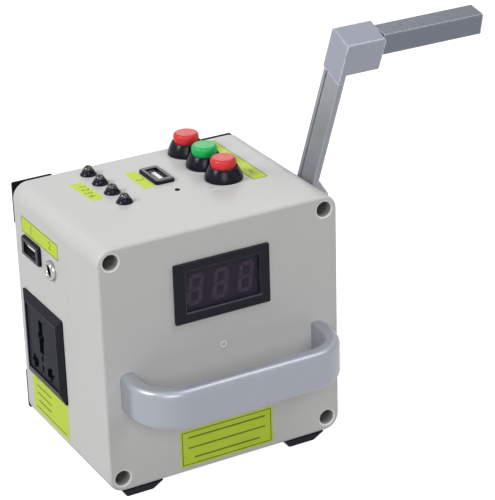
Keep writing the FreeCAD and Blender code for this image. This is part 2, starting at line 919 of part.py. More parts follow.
# Black snap-in frames of the two charging sockets
def make_usb_frames():
    frames = []
    for place in (side_usb_place(), top_usb_place()):
        centre, long, short, out = place
        rim = usb_block(place, long, short, 0, usb_proud)
        rim = rim.makeFillet(usb_round, edges_along(rim, out))
        axis = "Z" if out == z_axis else "X"
        level = centre.z + usb_proud if out == z_axis else centre.x - usb_proud
        rim = rim.makeChamfer(0.6, edges_in_plane(rim, axis, level))
        frame = rim.fuse(usb_neck(place, usb_depth, seat_clearance))
        frame = frame.cut(usb_block(place, usb_port_long, usb_port_short, -usb_depth + 1.5, usb_proud))
        frames.append(frame)
    return group(frames)


# Folded metal shells inside the frames
def make_usb_shells():
    shells = []
    for place in (side_usb_place(), top_usb_place()):
        long = usb_port_long - 2 * seat_clearance
        short = usb_port_short - 2 * seat_clearance
        top = usb_proud - usb_shell_sink
        shell = usb_block(place, long, short, -usb_depth + 1.5, top)
        less = 2 * usb_shell_wall
        shells.append(shell.cut(usb_block(place, long - less, short - less, -usb_depth + 2.0, top)))
    return group(shells)


# White contact tongues
def make_usb_tongues():
    tongues = []
    for place in (side_usb_place(), top_usb_place()):
        top = usb_proud - usb_tongue_sink
        tongues.append(usb_block(place, usb_tongue_long, usb_tongue_short, -usb_depth + 2.0, top,
                                 usb_tongue_shift))
    return group(tongues)


def jack_at(x):
    """Point on the charging inlet's axis."""
    return vector(x, front_y + jack_y, base_z + jack_height)


# Metal bush of the charging inlet
def make_dc_jack_barrel():
    flange = rod(jack_radius, jack_at(-half_width - jack_proud), x_axis, jack_proud)
    flange = flange.makeChamfer(0.5, edges_in_plane(flange, "X", -half_width - jack_proud))
    barrel = rod(jack_barrel_radius - seat_clearance, jack_at(-half_width), x_axis, jack_length)
    whole = flange.fuse(barrel)
    return whole.cut(rod(jack_bore_radius, jack_at(-half_width - jack_proud), x_axis, jack_length - 1))


# Centre pin of the charging inlet
def make_dc_jack_pin():
    floor = -half_width - jack_proud + jack_length - 1
    pin = rod(jack_pin_radius, jack_at(floor - jack_pin_length), x_axis, jack_pin_length)
    return pin.makeChamfer(0.3, edges_in_plane(pin, "X", floor - jack_pin_length))


# Nut that clamps the inlet to the wall
def make_dc_jack_nut():
    nut = hexagon(jack_nut_size, jack_at(-half_width + wall), x_axis, jack_nut_thickness)
    return nut.cut(rod(jack_barrel_radius, jack_at(-half_width + wall), x_axis, jack_nut_thickness))


def turned(points, centre):
    """Body turned about the vertical axis through a centre from radius and height pairs."""
    corners = [vector(centre.x + radius, centre.y, centre.z + height) for radius, height in points]
    outline = Part.makePolygon(corners + [corners[0]])
    return Part.Face(outline).revolve(centre, z_axis, 360)


# Black snap-in holders of the lamps
def make_lamp_holders():
    holders = []
    gap = seat_clearance
    for y in lamp_places():
        profile = [
            (lamp_radius + gap, -lamp_barrel_depth), (lamp_barrel_radius - gap, -lamp_barrel_depth),
            (lamp_barrel_radius - gap, 0), (lamp_flange_radius, 0), (lamp_flange_radius, lamp_flange_edge),
            (lamp_collar_radius + 0.4, lamp_collar_height * 0.6), (lamp_collar_radius, lamp_collar_height),
            (lamp_radius + gap, lamp_collar_height),
        ]
        holders.append(turned(profile, vector(lamp_x, y, top_z)))
    return group(holders)


def lamp_body(x, y, z, radius, below, above):
    """Round-nosed lamp with two legs."""
    straight = rod(radius, vector(x, y, z - below), z_axis, below + above - radius)
    lamp = straight.fuse(Part.makeSphere(radius, vector(x, y, z + above - radius)))
    for side in (-1, 1):
        leg_at = vector(x, y + side * lamp_leg_spread, z - below - lamp_leg_length)
        lamp = lamp.fuse(rod(lamp_leg_radius, leg_at, z_axis, lamp_leg_length + 1))
    return lamp


# Lamps in their holders
def make_lamps():
    below = lamp_barrel_depth - 1
    return group([lamp_body(lamp_x, y, top_z, lamp_radius, below, lamp_top) for y in lamp_places()])


# Small charge lamp set in the top
def make_charge_lamp():
    at = vector(charge_lamp_x, front_y + charge_lamp_y, top_z - charge_lamp_length)
    return rod(charge_lamp_radius - seat_clearance, at, z_axis, charge_lamp_length + 0.3)


# Bell-shaped collars with their threaded barrels
def make_button_collars():
    collars = []
    floor = -button_barrel_depth
    outer = button_collar_radius
    top = button_collar_top_radius
    high = button_collar_height
    cap_well = button_cap_radius + button_slide_gap / 2
    stem_well = button_stem_radius + button_slide_gap
    shelf = high - button_cap_seat - button_travel - button_slide_gap
    guide = button_guide_radius + button_guide_gap
    barrel = button_barrel_radius - seat_clearance
    for y in button_places():
        profile = [
            (guide, floor), (barrel, floor), (barrel, 0), (outer, 0), (outer, button_collar_rim),
            (outer - 0.15 * (outer - top), high * 0.4), (outer - 0.5 * (outer - top), high * 0.75),
            (top + 0.1, high - 0.5), (top - 0.3, high), (cap_well, high), (cap_well, shelf),
            (stem_well, shelf), (stem_well, floor + button_floor), (guide, floor + button_floor),
        ]
        collars.append(turned(profile, vector(button_x, y, top_z)))
    return group(collars)


def stem_low():
    """Underside of a cap's stem above the case."""
    return button_collar_height - button_cap_seat - button_stem_depth - button_travel


# Coloured cap with its stem, one node per button
def make_button_cap(y):
    cap_low = button_collar_height - button_cap_seat
    guide_low = -button_barrel_depth + button_slide_gap
    radius = button_cap_radius
    soft = button_cap_round
    profile = [
        (0, guide_low), (button_guide_radius, guide_low), (button_guide_radius, stem_low()),
        (button_stem_radius, stem_low()), (button_stem_radius, cap_low), (radius - 0.4, cap_low),
        (radius, cap_low + 0.4), (radius, button_cap_top - soft),
        (radius - 0.3 * soft, button_cap_top - 0.3 * soft), (radius - soft, button_cap_top),
        (0, button_cap_top),
    ]
    return turned(profile, vector(button_x, y, top_z))


# Return spring under each cap
def make_button_spring(y):
    low = top_z - button_barrel_depth + button_floor + button_spring_wire
    high = top_z + stem_low() - button_spring_wire
    height = high - low
    radius = button_spring_radius
    helix = Part.makeHelix(height / button_spring_coils, height, radius)
    wire_ring = Part.Wire(Part.makeCircle(button_spring_wire, vector(radius, 0, 0), y_axis))
    coil = Part.Wire(helix).makePipeShell([wire_ring], True, True)
    coil.translate(vector(button_x, y, low))
    return coil


# Hexagon nuts that clamp the collars
def make_button_nuts():
    nuts = []
    for y in button_places():
        at = vector(button_x, y, top_z - wall)
        nut = hexagon(button_nut_size, at, -z_axis, button_nut_thickness)
        nuts.append(nut.cut(rod(button_barrel_radius, at, -z_axis, button_nut_thickness)))
    return group(nuts)


# Plain stick-on labels
def make_labels():
    plates = []
    wide, tall, x, z = label_front
    plates.append(box(x - wide / 2, x + wide / 2, front_y - label_thickness, front_y,
                      base_z + z - tall / 2, base_z + z + tall / 2))
    for wide, tall, y, z in (label_side_upper, label_side_lower):
        plates.append(box(-half_width - label_thickness, -half_width, front_y + y - wide / 2,
                          front_y + y + wide / 2, base_z + z - tall / 2, base_z + z + tall / 2))
    for wide, long, x, y in (label_lamps, label_top_usb, label_buttons):
        plates.append(box(x - wide / 2, x + wide / 2, front_y + y - long / 2, front_y + y + long / 2,
                          top_z, top_z + label_thickness))
    _, _, x, y = label_lamps
    plates[3].rotate(vector(x, front_y + y, top_z), z_axis, label_turn)
    return group(plates)


def on_shaft(x):
    """Point on the crank's axis."""
    return vector(x, shaft_axis.y, shaft_axis.z)


def lean(shape, angle=crank_lean):
    """Turn a piece that was drawn upright to the crank's rest angle."""
    shape.rotate(on_shaft(0), x_axis, angle)
    return shape


def on_crank(x0, x1, y0, y1, z0, z1):
    """Block in the crank's own upright frame, with heights from the shaft."""
    return box(x0, x1, shaft_axis.y + y0, shaft_axis.y + y1, shaft_axis.z + z0, shaft_axis.z + z1)


def shaft_core(x0, x1):
    """Length of the shaft with the flat that drives the crank."""
    core = rod(shaft_radius, on_shaft(x0), x_axis, x1 - x0)
    high = shaft_radius - shaft_flat
    return core.cut(on_crank(x0, x1, -shaft_radius, shaft_radius, high, shaft_radius + 1))


# Flanged brass bush in the right wall
def make_crank_bush():
    flange = rod(bush_flange_radius, on_shaft(half_width), x_axis, bush_flange_thickness)
    flange = flange.makeChamfer(0.5, edges_in_plane(flange, "X", half_width + bush_flange_thickness))
    start = outer_plate_x - plate_thickness
    barrel = rod(bush_radius - seat_clearance, on_shaft(start), x_axis, half_width - start)
    bush = flange.fuse(barrel)
    length = half_width + bush_flange_thickness - start
    return bush.cut(rod(shaft_radius + running_gap, on_shaft(start), x_axis, length))


# Steel crank shaft
def make_crank_shaft():
    inner_end = layer_one_x - shaft_end_gap
    round_part = rod(shaft_radius, on_shaft(inner_end), x_axis, arm_inner_x - inner_end)
    outer_end = arm_outer_x + hub_thickness
    shaft = round_part.fuse(shaft_core(arm_inner_x, outer_end))
    thread = rod(crank_screw_radius + seat_clearance, on_shaft(outer_end), -x_axis, crank_screw_length)
    return lean(shaft.cut(thread))


# Spacer between the bush and the arm
def make_crank_spacer():
    start = half_width + bush_flange_thickness + 0.3
    return ring(spacer_radius, shaft_radius, on_shaft(start), x_axis, arm_inner_x - start)


def tongue_block():
    """Flat tongue of the arm that sits in the elbow."""
    middle = (arm_inner_x + arm_outer_x) / 2
    thick = arm_tongue_thickness / 2
    wide = arm_tongue_width / 2
    top = arm_to_elbow + arm_tongue_length
    return on_crank(middle - thick, middle + thick, -wide, wide, arm_to_elbow, top)


# Grooved flat bar
def make_crank_arm():
    half = arm_width / 2
    arm = on_crank(arm_inner_x, arm_outer_x, -half, half, -hub_half_length, arm_to_elbow)
    rear = half - arm_groove_from_edge
    arm = arm.cut(on_crank(arm_inner_x, arm_inner_x + arm_groove_depth, rear - arm_groove_width, rear,
                           hub_half_length, arm_to_elbow))
    z = shaft_axis.z - hub_half_length
    y = shaft_axis.y + half
    corner = [vector(arm_inner_x, y, z), vector(arm_inner_x + arm_edge_chamfer, y, z),
              vector(arm_inner_x, y - arm_edge_chamfer, z)]
    arm = arm.cut(prism(corner, z_axis * (arm_to_elbow + hub_half_length)))
    arm = arm.fuse(tongue_block())
    return lean(arm.cut(shaft_core(arm_inner_x, arm_outer_x)))


# Block that clamps the arm to the shaft
def make_crank_hub():
    half = hub_width / 2
    hub = on_crank(arm_outer_x, arm_outer_x + hub_thickness, -half, half, -hub_half_length, hub_half_length)
    hub = hub.makeFillet(hub_round, edges_along(hub, x_axis))
    hub = hub.makeFillet(hub_round / 2, edges_in_plane(hub, "X", arm_outer_x + hub_thickness))
    return lean(hub.cut(shaft_core(arm_outer_x, arm_outer_x + hub_thickness)))


# Elbow block that turns the arm outward
def make_crank_elbow():
    half = arm_width / 2
    block = on_crank(arm_inner_x, elbow_outer_x, -half, half, elbow_bottom, elbow_top)
    upright = edges_along(block, y_axis) + edges_along(block, x_axis)
    block = block.makeFillet(elbow_round, upright)
    skirt = on_crank(arm_inner_x, arm_outer_x, -half, half, arm_to_elbow, elbow_bottom + 2 * elbow_round)
    elbow = block.fuse(skirt)
    elbow = elbow.cut(tongue_block())
    pin_at = vector(elbow_outer_x, shaft_axis.y, shaft_axis.z + grip_from_shaft)
    elbow = elbow.cut(rod(grip_thread_radius, pin_at, -x_axis, grip_thread_length))
    return lean(elbow)


# Screw and washer that hold the hub on the shaft
def make_crank_screw():
    face = arm_outer_x + hub_thickness
    seat = face + crank_washer_thickness
    washer = rod(crank_washer_radius, on_shaft(face), x_axis, crank_washer_thickness)
    head = rod(crank_screw_head_radius, on_shaft(seat), x_axis, crank_screw_head_height)
    head = head.makeFillet(0.8, edges_in_plane(head, "X", seat + crank_screw_head_height))
    shank = rod(crank_screw_radius, on_shaft(face), -x_axis, crank_screw_length - 1)
    screw = washer.fuse(head).fuse(shank)
    key = hexagon(crank_key_size, on_shaft(seat + 1.0), x_axis, crank_screw_head_height)
    return screw.cut(key)


def grip_at(x):
    """Point on the grip's axis with the crank at rest."""
    angle = math.radians(crank_lean)
    return vector(x, shaft_axis.y - grip_from_shaft * math.sin(angle),
                  shaft_axis.z + grip_from_shaft * math.cos(angle))


def grip_start():
    """Inner end of the grip."""
    return elbow_outer_x + grip_washer_thickness + grip_end_play


# Square grip that turns on its pin
def make_crank_grip():
    start = grip_start()
    half = grip_side / 2
    centre = grip_at(0)
    grip = box(start, start + grip_length, centre.y - half, centre.y + half, centre.z - half, centre.z + half)
    grip = grip.makeFillet(grip_round, edges_along(grip, x_axis))
    grip = grip.cut(rod(grip_pin_radius + running_gap, grip_at(start), x_axis, grip_length))
    end = start + grip_length
    grip = grip.cut(rod(grip_head_well_radius, grip_at(end), -x_axis, grip_head_well_depth))
    grip.rotate(grip_at(0), x_axis, grip_lean)
    return grip


# Shoulder screw that carries the grip
def make_grip_pin():
    floor = grip_start() + grip_length - grip_head_well_depth
    pin = rod(grip_pin_radius, grip_at(elbow_outer_x), x_axis, floor + grip_end_play - elbow_outer_x)
    thread_length = grip_thread_length - 0.5
    thread = rod(grip_thread_radius - seat_clearance, grip_at(elbow_outer_x), -x_axis, thread_length)
    head = rod(grip_head_radius, grip_at(floor + grip_end_play), x_axis, grip_head_height)
    top = floor + grip_end_play + grip_head_height
    head = head.makeFillet(0.5, edges_in_plane(head, "X", top))
    screw = pin.fuse(thread).fuse(head)
    centre = grip_at(top)
    half = grip_head_radius
    thin = slot_width / 2
    return screw.cut(box(top - 1.0, top, centre.y - half, centre.y + half, centre.z - thin, centre.z + thin))


# Thin washer between the elbow and the grip
def make_grip_washer():
    return ring(grip_washer_radius, grip_pin_radius, grip_at(elbow_outer_x), x_axis, grip_washer_thickness)


def involute(angle):
    """Involute function of an angle in radians."""
    return math.tan(angle) - angle


def gear_outline(teeth, centre, start_angle):
    """Closed outline of a spur gear in the plane across X, with one tooth at the start angle."""
    pitch = gear_module * teeth / 2
    base = pitch * math.cos(math.radians(pressure_angle))
    tip = pitch + tooth_addendum * gear_module
    root = pitch - tooth_dedendum * gear_module
    half_tooth = math.pi / (2 * teeth) - tooth_backlash / (2 * pitch)
    low = max(base, root)
    radii = [low + (tip - low) * share for share in (0, 0.3, 0.65, 1)]
    flank = []
    for radius in radii:
        turn = involute(math.acos(min(1, base / radius)))
        flank.append((radius, half_tooth - turn + involute(math.radians(pressure_angle))))
    if root < base:
        flank.insert(0, (root, flank[0][1]))
    corners = []
    for tooth in range(teeth):
        middle = math.radians(start_angle) + 2 * math.pi * tooth / teeth
        sides = [(radius, middle - half) for radius, half in flank]
        sides += [(radius, middle + half) for radius, half in reversed(flank)]
        for radius, angle in sides:
            corners.append(centre + vector(0, radius * math.cos(angle), radius * math.sin(angle)))
    return corners


def gear_disc(teeth, x, centre, start_angle):
    """Spur gear of one face width, starting at x."""
    shift = vector(x - centre.x, 0, 0)
    corners = [corner + shift for corner in gear_outline(teeth, centre, start_angle)]
    return prism(corners, x_axis * gear_face)


def train_points():
    """Axes of the crank, the two idlers and the generator."""
    points = [on_shaft(0)]
    for angle in train_angles:
        turn = math.radians(angle)
        step = vector(0, centre_distance * math.sin(turn), -centre_distance * math.cos(turn))
        points.append(points[-1] + step)
    return points


def step_direction(index):
    """Direction in degrees, from +Y towards +Z, from one axis of the train to the next."""
    return train_angles[index] - 90.0


def driver_phase(index):
    """Tooth angle of a driving gear: one tooth points at the next axis."""
    return step_direction(index)


def driven_phase(index):
    """Tooth angle of a driven pinion: a gap points back at the driving axis."""
    return step_direction(index) + 180.0 + 180.0 / pinion_teeth


# Gear on the crank shaft
def make_crank_gear():
    centre = train_points()[0]
    gear = gear_disc(gear_teeth, layer_one_x, centre, driver_phase(0))
    boss_end = outer_plate_x - plate_thickness - 0.3
    boss_start = layer_one_x + gear_face
    gear = gear.fuse(rod(gear_boss_radius, on_shaft(boss_start), x_axis, boss_end - boss_start))
    return gear.cut(rod(shaft_radius, on_shaft(layer_one_x), x_axis, boss_end - layer_one_x))


def make_idler(index, pinion_x, gear_x):
    """Pinion and gear in one moulding that turns on a fixed pin."""
    centre = train_points()[index]
    pinion = gear_disc(pinion_teeth, pinion_x, centre, driven_phase(index - 1))
    gear = gear_disc(gear_teeth, gear_x, centre, driver_phase(index))
    low = gear_x
    core_radius = pinion_radius - tooth_dedendum * gear_module
    core = rod(core_radius, centre + x_axis * low, x_axis, pinion_x + gear_face - low)
    idler = pinion.fuse(gear).fuse(core)
    bore = rod(idler_pin_radius + running_gap, centre + x_axis * low, x_axis, pinion_x + gear_face - low)
    return idler.cut(bore)


# First step-up gear
def make_idler_a():
    return make_idler(1, layer_one_x, layer_two_x)


# Second step-up gear
def make_idler_b():
    return make_idler(2, layer_two_x, layer_three_x)


# Steel pins pressed into both plates
def make_idler_pins():
    start = inner_plate_x - plate_thickness
    length = outer_plate_x - start
    pins = []
    for centre in train_points()[1:3]:
        pins.append(rod(idler_pin_radius, centre + x_axis * start, x_axis, length))
    return group(pins)


def plate(x, top):
    """Side plate of the gear frame with its post and pin holes."""
    y0, y1 = front_y + plate_front, front_y + plate_back
    blank = rounded_box(x - plate_thickness, x, y0, y1, base_z + plate_bottom, base_z + top, 4.0, x_axis)
    for centre in train_points()[1:3]:
        start = centre + x_axis * (x - plate_thickness)
        blank = blank.cut(rod(idler_pin_radius, start, x_axis, plate_thickness))
    return blank


# Plate next to the right wall
def make_frame_plate_outer():
    outer = plate(outer_plate_x, outer_plate_top)
    start = outer_plate_x - plate_thickness
    return outer.cut(rod(bush_radius, on_shaft(start), x_axis, plate_thickness))


# Plate that carries the generator
def make_frame_plate_inner():
    inner = plate(inner_plate_x, inner_plate_top)
    centre = train_points()[3]
    start = inner_plate_x - plate_thickness
    return inner.cut(rod(3 * rotor_shaft_radius, centre + x_axis * start, x_axis, plate_thickness))


# Posts between the plates and from the outer plate to the wall
def make_frame_posts():
    posts = []
    for y, z in post_places:
        at = vector(inner_plate_x, front_y + y, base_z + z)
        posts.append(rod(post_radius, at, x_axis, outer_plate_x - plate_thickness - inner_plate_x))
        foot = vector(outer_plate_x, front_y + y, base_z + z)
        posts.append(rod(post_radius, foot, x_axis, plate_to_wall))
    return group(posts)


def generator_point(x):
    """Point on the generator's axis."""
    return train_points()[3] + x_axis * x


# Can of the generator
def make_generator_can():
    start = generator_x - generator_length
    can = rod(generator_radius, generator_point(start), x_axis, generator_length)
    can = can.cut(rod(generator_radius - generator_shell, generator_point(start + generator_end), x_axis,
                      generator_length - 2 * generator_end))
    return can.cut(rod(rotor_shaft_radius + running_gap, generator_point(start), x_axis, generator_length))


# Coils round the inside of the can
def make_generator_coils():
    coils = []
    start = generator_x - generator_length + coil_end_gap
    length = generator_length - 2 * coil_end_gap
    outer = generator_radius - generator_shell
    body = ring(outer, coil_inner_radius, generator_point(start), x_axis, length)
    for index in range(coil_count):
        angle = 360.0 / coil_count * index
        wedge = Part.makeCylinder(outer + 1, length, generator_point(start), x_axis, coil_spread)
        wedge.rotate(generator_point(start), x_axis, angle)
        coils.append(body.common(wedge))
    return group(coils)


# Magnet rotor on its shaft
def make_generator_rotor():
    start = generator_x - generator_length
    length = generator_length - 2 * rotor_end_gap
    magnet = rod(rotor_radius, generator_point(start + rotor_end_gap), x_axis, length)
    end = layer_three_x + gear_face
    return magnet.fuse(rod(rotor_shaft_radius, generator_point(start), x_axis, end - start))


# Pinion on the generator's shaft
def make_generator_pinion():
    centre = train_points()[3]
    pinion = gear_disc(pinion_teeth, layer_three_x, centre, driven_phase(2))
    return pinion.cut(rod(rotor_shaft_radius, generator_point(layer_three_x), x_axis, gear_face))


def board_front_y():
    """Front face of the main circuit board."""
    return back_y - wall - board_standoff - board_thickness


# Main circuit board on four standoffs
def make_main_board():
    y = board_front_y()
    board = box(board_left, board_right, y, y + board_thickness, base_z + board_bottom, base_z + board_top)
    pieces = [board]
    for x in (board_left + board_standoff_inset, board_right - board_standoff_inset):
        for z in (board_bottom + board_standoff_inset, board_top - board_standoff_inset):
            at = vector(x, y + board_thickness, base_z + z)
            pieces.append(rod(board_standoff_radius, at, y_axis, board_standoff))
    return group(pieces)


# Choke, capacitors and heat sink on the board
def make_board_parts():
    y = board_front_y()
    z = base_z + choke_height
    left = board_left + 3.0
    half = choke_size / 2
    core = rounded_box(left, left + choke_size, y - choke_size * 0.7, y, z - half, z + half, 2.0, y_axis)
    pieces = [core]
    for index in range(2):
        across = capacitor_inset + index * (2 * capacitor_radius + capacitor_gap)
        at = vector(board_left + across, y, z - choke_size)
        pieces.append(rod(capacitor_radius, at, -y_axis, capacitor_length))
    x = board_right - heat_sink_inset
    sink = box(x - 8.0, x, y - heat_sink_depth, y, z - heat_sink_length / 2, z + heat_sink_length / 2)
    for index in range(2):
        fin = x - 6.0 + index * 3.0
        sink = sink.cut(box(fin, fin + 1.5, y - heat_sink_depth, y - 2.0, z - heat_sink_length / 2,
                            z + heat_sink_length / 2))
    pieces.append(sink)
    return group(pieces)


# Two round cells in a cradle on the floor of the case
def make_battery_pack():
    pieces = []
    floor = base_z + wall
    x0 = cell_middle_x - cell_length / 2
    pitch = 2 * cell_radius + cradle_wall
    y0 = front_y + cell_first_y
    low_y = y0 - cell_radius - cradle_wall
    high_y = y0 + pitch * (cell_count - 1) + cell_radius + cradle_wall
    cradle = box(x0 - cradle_wall, x0 + cell_length + cradle_wall, low_y, high_y, floor,
                 floor + cradle_height)
    for index in range(cell_count):
        at = vector(x0, y0 + pitch * index, floor + cradle_wall + cell_radius)
        cradle = cradle.cut(rod(cell_radius, at, x_axis, cell_length))
        upper = box(x0, x0 + cell_length, at.y - cell_radius, at.y + cell_radius, at.z, at.z + cell_radius)
        cradle = cradle.cut(upper)
        pieces.append(rod(cell_radius - seat_clearance, at, x_axis, cell_length))
    return group([cradle] + pieces)


def save(name, shape):
    """Move one node to the object's own origin, write it and say how many solids it holds."""
    shape.translate(vector(-middle_x, -middle_y, 0))
    state = "valid" if shape.isValid() else "BAD"
    print(name, len(shape.Solids), "solids", round(shape.Volume, 1), "mm3", state)
    shape.exportStep("parts/%s.step" % name)


makers = {
    "case_body": make_case_body, "front_cover": make_front_cover, "cover_gasket": make_cover_gasket,
    "cover_screws": make_cover_screws, "bottom_feet": make_bottom_feet, "foot_screws": make_foot_screws,
    "rear_feet": make_rear_feet, "carry_handle": make_carry_handle, "handle_screws": make_handle_screws,
    "meter_bezel": make_meter_bezel, "meter_window": make_meter_window, "meter_display": make_meter_display,
    "meter_digits": make_meter_digits, "meter_board": make_meter_board, "socket_frame": make_socket_frame,
    "socket_face": make_socket_face, "socket_contacts": make_socket_contacts, "usb_frames": make_usb_frames,
    "usb_shells": make_usb_shells, "usb_tongues": make_usb_tongues, "dc_jack_barrel": make_dc_jack_barrel,
    "dc_jack_pin": make_dc_jack_pin, "dc_jack_nut": make_dc_jack_nut, "lamp_holders": make_lamp_holders,
    "lamps": make_lamps, "charge_lamp": make_charge_lamp, "button_collars": make_button_collars,
    "button_nuts": make_button_nuts, "labels": make_labels, "crank_bush": make_crank_bush,
    "crank_shaft": make_crank_shaft, "crank_spacer": make_crank_spacer, "crank_arm": make_crank_arm,
    "crank_hub": make_crank_hub, "crank_elbow": make_crank_elbow, "crank_screw": make_crank_screw,
    "crank_grip": make_crank_grip, "grip_pin": make_grip_pin, "grip_washer": make_grip_washer,
    "crank_gear": make_crank_gear, "idler_a": make_idler_a, "idler_b": make_idler_b,
    "idler_pins": make_idler_pins, "frame_plate_outer": make_frame_plate_outer,
    "frame_plate_inner": make_frame_plate_inner, "frame_posts": make_frame_posts,
    "generator_can": make_generator_can, "generator_coils": make_generator_coils,
    "generator_rotor": make_generator_rotor, "generator_pinion": make_generator_pinion,
    "main_board": make_main_board, "board_parts": make_board_parts, "battery_pack": make_battery_pack,
}

os.makedirs("parts", exist_ok=True)
for node, maker in makers.items():
    save(node, maker())
for name, place in zip(button_names, button_places()):
    save("button_cap_" + name, make_button_cap(place))
    save("button_spring_" + name, make_button_spring(place))
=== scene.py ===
import math

import bmesh
import bpy
from mathutils import Matrix, Vector


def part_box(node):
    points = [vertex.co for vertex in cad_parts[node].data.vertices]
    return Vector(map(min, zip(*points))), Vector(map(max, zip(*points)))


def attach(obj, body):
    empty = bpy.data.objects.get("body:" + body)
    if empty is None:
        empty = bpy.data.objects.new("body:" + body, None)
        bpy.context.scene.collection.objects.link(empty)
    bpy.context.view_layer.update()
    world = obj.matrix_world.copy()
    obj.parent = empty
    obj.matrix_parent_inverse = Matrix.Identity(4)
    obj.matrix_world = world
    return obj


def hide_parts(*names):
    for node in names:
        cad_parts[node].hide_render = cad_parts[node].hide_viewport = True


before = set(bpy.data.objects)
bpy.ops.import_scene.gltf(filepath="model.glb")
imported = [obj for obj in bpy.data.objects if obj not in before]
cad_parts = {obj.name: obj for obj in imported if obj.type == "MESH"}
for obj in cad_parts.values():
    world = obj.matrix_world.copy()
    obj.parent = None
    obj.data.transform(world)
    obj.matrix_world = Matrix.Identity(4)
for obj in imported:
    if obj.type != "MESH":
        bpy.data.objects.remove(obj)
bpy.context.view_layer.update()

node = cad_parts


# The case is a stock instrument box of light grey ABS, moulded in two halves with a fine spark grain.
# The front half screws on from the front through four deep recesses, and a foam cord seals the joint.
# The moulding gate of the cover, cut off flush, has left a small round mark below the meter.
def new_material(name):
    """A material, its tree and its shader."""
    mat = bpy.data.materials.new(name)
    mat.use_nodes = True
    return mat, mat.node_tree, mat.node_tree.nodes["Principled BSDF"]


def shader_node(tree, kind, inputs, operation=None):
    """A node of this kind. Each input has a value, or the output of another node that feeds it."""
    made = tree.nodes.new("ShaderNode" + kind)
    if operation:
        made.operation = operation
    for name, value in inputs.items():
        if isinstance(value, bpy.types.NodeSocket):
            tree.links.new(value, made.inputs[name])
        else:
            made.inputs[name].default_value = value
    return made


def reckon(tree, operation, first, second=None):
    """One sum on the values of a material."""
    inputs = {0: first} if second is None else {0: first, 1: second}
    return shader_node(tree, "Math", inputs, operation).outputs["Value"]


def mixed(tree, share, first, second):
    """The first colour turns to the second by this share."""
    return shader_node(tree, "MixRGB", {"Fac": share, "Color1": first, "Color2": second}).outputs["Color"]


def between(tree, value, start, end, low=0.0, high=1.0):
    """The value goes from low to high as it goes from start to end."""
    ends = {"Value": value, "From Min": start, "From Max": end, "To Min": low, "To Max": high}
    return shader_node(tree, "MapRange", ends).outputs["Result"]


def noise(tree, place, scale, detail):
    """An uneven pattern over the piece."""
    return shader_node(tree, "TexNoise", {"Vector": place, "Scale": scale, "Detail": detail}).outputs["Fac"]


def lit_by(colour, share):
    """A colour made darker or lighter by a share, with its full cover."""
    return [min(1, part * share) for part in colour] + [1]


def painted_edge_highlight(tree, tone, reach, light):
    """Painted highlight: near edges the tone turns lighter, in uneven patches."""
    round_off = shader_node(tree, "Bevel", {"Radius": reach})
    round_off.samples = 4
    flat = shader_node(tree, "NewGeometry", {})
    normals = {0: round_off.outputs["Normal"], 1: flat.outputs["Normal"]}
    turn = shader_node(tree, "VectorMath", normals, "DOT_PRODUCT")
    edge = between(tree, turn.outputs["Value"], 0.985, 0.80)
    place = shader_node(tree, "TexCoord", {}).outputs["Object"]
    patch = between(tree, noise(tree, place, 260.0, 5.0), 0.25, 0.55)
    return mixed(tree, reckon(tree, "MULTIPLY", edge, patch), tone, lit_by(light, 1))


def moulded_plastic(name, colour, rough, grain, height, mottle=0.03, spread=60.0, shine=0.5, edge_highlight=None):
    """Moulded plastic: a fine grain in the bump, a slow change of tone and of gloss."""
    mat, tree, shader = new_material(name)
    place = shader_node(tree, "TexCoord", {}).outputs["Object"]
    slow = noise(tree, place, spread, 4.0)
    shade = mixed(tree, slow, lit_by(colour, 1 - mottle), lit_by(colour, 1 + mottle))
    # A painted highlight along the edges, where a highlight colour is given.
    if edge_highlight:
        shade = painted_edge_highlight(tree, shade, 0.0005, edge_highlight)
    tree.links.new(shade, shader.inputs["Base Color"])
    shader.inputs["Specular IOR Level"].default_value = shine
    tree.links.new(between(tree, slow, 0.0, 1.0, rough - 0.06, rough + 0.06), shader.inputs["Roughness"])
    grains = noise(tree, place, grain, 3.0)
    bump = shader_node(tree, "Bump", {"Strength": 0.6, "Distance": height, "Height": grains})
    tree.links.new(bump.outputs["Normal"], shader.inputs["Normal"])
    return mat


def dress(names, mat):
    """The CAD pieces of these names take this finish."""
    for name in names:
        node[name].material_slots[0].material = mat


case_grey = moulded_plastic("case_grey", (0.60, 0.60, 0.59), 0.50, 2600.0, 0.00006, shine=0.25,
                            edge_highlight=(0.68, 0.68, 0.67))
dress(["case_body", "front_cover"], case_grey)
case_low, case_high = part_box("case_body")
case_x, case_z = (case_low[0] + case_high[0]) / 2, (case_low[2] + case_high[2]) / 2
front_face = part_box("front_cover")[0][1]
left_face, top_face = case_low[0], case_high[2]
screw_step, recess_r, rim_r = 0.0533, 0.0042, 0.0047
# Depths at which the painted shade in the recesses begins and is full, and where the painted rim highlight
# ends.
recess_shade_starts, recess_shade_full, rim_ends = 0.0004, 0.0050, 0.0005


